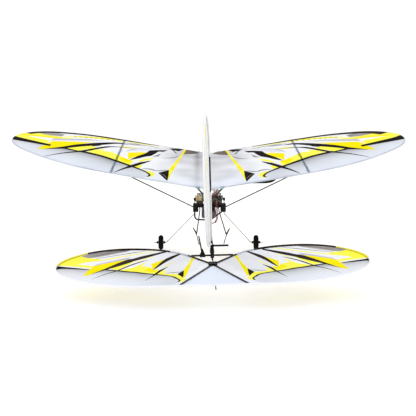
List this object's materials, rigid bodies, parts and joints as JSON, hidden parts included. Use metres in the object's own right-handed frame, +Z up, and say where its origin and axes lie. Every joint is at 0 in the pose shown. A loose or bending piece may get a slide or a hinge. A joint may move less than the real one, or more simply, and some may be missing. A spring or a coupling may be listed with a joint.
{
  "type": "indoor slow-flying electric model aeroplane",
  "caption": "Ultra-light indoor model aeroplane: carbon-rod frame, printed film wing and tail, geared motor with propeller, pushrod-worked elevator and rudder, wire legs with wheels.",
  "frame": {"origin": "centre of the footprint on the ground that the two wheels and the tail skid stand on", "axes": "+Y towards the propeller, +X towards the right wing tip, +Z up"},
  "size_m": [0.376, 0.3884, 0.1238],
  "materials": {
    "carbon": "satin pultruded carbon rod",
    "moulded": "fine-grained black moulding",
    "film_print": "thin glossy film printed in white, grey, black and yellow",
    "clip": "clear bluish tube",
    "steel_wire": "drawn wire",
    "black_rubber": "matt sleeve",
    "tyre": "matt foam",
    "hub": "moulded",
    "battery_wrap": "shrink wrapper",
    "pad": "hook and loop patch",
    "lead_red": "thin insulation",
    "lead_black": "thin insulation",
    "lead_blue": "thin insulation",
    "lead_white": "thin insulation",
    "board": "solder mask",
    "chips": "moulded packages",
    "capacitor": "tan moulding",
    "can": "drawn can",
    "brass": "turned",
    "nylon_white": "moulded nylon",
    "controller_wrap": "shrink tube",
    "prop": "moulded"
  },
  "bodies": {
    "airframe": {"battery": "battery_wrap", "battery_hoop": "carbon", "battery_lead_black": "lead_black", "battery_lead_red": "lead_red", "battery_pad": "pad", "board_capacitor": "capacitor", "board_chips": "chips", "gear_wire_left": "steel_wire", "gear_wire_right": "steel_wire", "gearbox_frame": "moulded", "motor_can": "can", "motor_cap": "moulded", "motor_lead_blue": "lead_blue", "motor_lead_red": "lead_red", "pod_frame": "moulded", "pylon_clamps": "moulded", "pylon_struts": "carbon", "receiver_board": "board", "servo_housing_left": "moulded", "servo_housing_right": "moulded", "servo_leads": "lead_white", "servo_motors": "can", "shaft_bushings": "brass", "speed_controller": "controller_wrap", "tail_boom": "carbon", "tail_mount": "moulded", "tail_skid": "carbon", "wing_clips": "clip", "wing_film_left": "film_print", "wing_film_right": "film_print", "wing_ribs": "carbon", "wing_rim_left": "carbon", "wing_rim_right": "carbon", "wing_struts": "carbon", "wire_collars": "black_rubber"},
    "wheel_left": {"tyre_left": "tyre", "hub_left": "hub"},
    "wheel_right": {"tyre_right": "tyre", "hub_right": "hub"},
    "propeller_unit": {"propeller": "prop", "prop_shaft": "can", "spur_gear": "nylon_white"},
    "motor_pinion": {"pinion": "brass"},
    "elevator": {"elevator_rods": "carbon", "elevator_joint": "moulded", "elevator_film": "film_print", "elevator_pivot_rod": "carbon", "elevator_horn": "moulded"},
    "rudder": {"rudder_rim": "carbon", "rudder_film": "film_print", "rudder_post": "carbon", "rudder_horn": "moulded"},
    "elevator_slide": {"carriage_left": "moulded", "elevator_pushrod": "carbon", "elevator_pushrod_wire": "steel_wire"},
    "rudder_slide": {"carriage_right": "moulded", "rudder_pushrod": "carbon", "rudder_pushrod_wire": "steel_wire"},
    "elevator_screw": {"lead_screw_left": "can"},
    "rudder_screw": {"lead_screw_right": "can"}
  },
  "joints": [
    {"name": "propeller_spin", "type": "hinge", "parent": "airframe", "child": "propeller_unit", "pos_m": [0, 0.18864, 0.07647], "axis": [0, 0.9903, 0.1392], "continuous": true},
    {"name": "pinion_spin", "type": "hinge", "parent": "airframe", "child": "motor_pinion", "pos_m": [0.00636, 0.16576, 0.06682], "axis": [0, 0.9903, 0.1392], "continuous": true},
    {"name": "wheel_left_spin", "type": "hinge", "parent": "airframe", "child": "wheel_left", "pos_m": [-0.049, 0.15844, 0.0075], "axis": [1, 0, 0], "continuous": true},
    {"name": "wheel_right_spin", "type": "hinge", "parent": "airframe", "child": "wheel_right", "pos_m": [0.049, 0.15844, 0.0075], "axis": [1, 0, 0], "continuous": true},
    {"name": "elevator_hinge", "type": "hinge", "parent": "airframe", "child": "elevator", "pos_m": [0.00003, -0.10354, 0.025], "axis": [0.9997, -0.0036, 0.0259], "range_deg": [-15, 15]},
    {"name": "rudder_hinge", "type": "hinge", "parent": "airframe", "child": "rudder", "pos_m": [0, -0.10061, 0.02642], "axis": [-0.0262, -0.1391, 0.9899], "range_deg": [-21.2, 28.8]},
    {"name": "elevator_pushrod_slide", "type": "slide", "parent": "airframe", "child": "elevator_slide", "axis": [0, 0.9903, 0.1392], "range_m": [-0.003, 0.003]},
    {"name": "rudder_pushrod_slide", "type": "slide", "parent": "airframe", "child": "rudder_slide", "axis": [0, 0.9903, 0.1392], "range_m": [-0.0045, 0.0047]},
    {"name": "elevator_screw_spin", "type": "hinge", "parent": "airframe", "child": "elevator_screw", "pos_m": [-0.0089, 0.09487, 0.0539], "axis": [0, 0.9903, 0.1392], "range_deg": [-1600, 1600]},
    {"name": "rudder_screw_spin", "type": "hinge", "parent": "airframe", "child": "rudder_screw", "pos_m": [0.0089, 0.09487, 0.0539], "axis": [0, 0.9903, 0.1392], "range_deg": [-2700, 2850]}
  ],
  "couplings": [
    {"joint": "pinion_spin", "follows": "propeller_spin", "ratio": -5.6667},
    {"joint": "elevator_pushrod_slide", "follows": "elevator_hinge", "m_per_rad": -0.0083},
    {"joint": "rudder_pushrod_slide", "follows": "rudder_hinge", "m_per_rad": 0.0087},
    {"joint": "elevator_screw_spin", "follows": "elevator_hinge", "ratio": -86.917},
    {"joint": "rudder_screw_spin", "follows": "rudder_hinge", "ratio": 91.106}
  ]
}
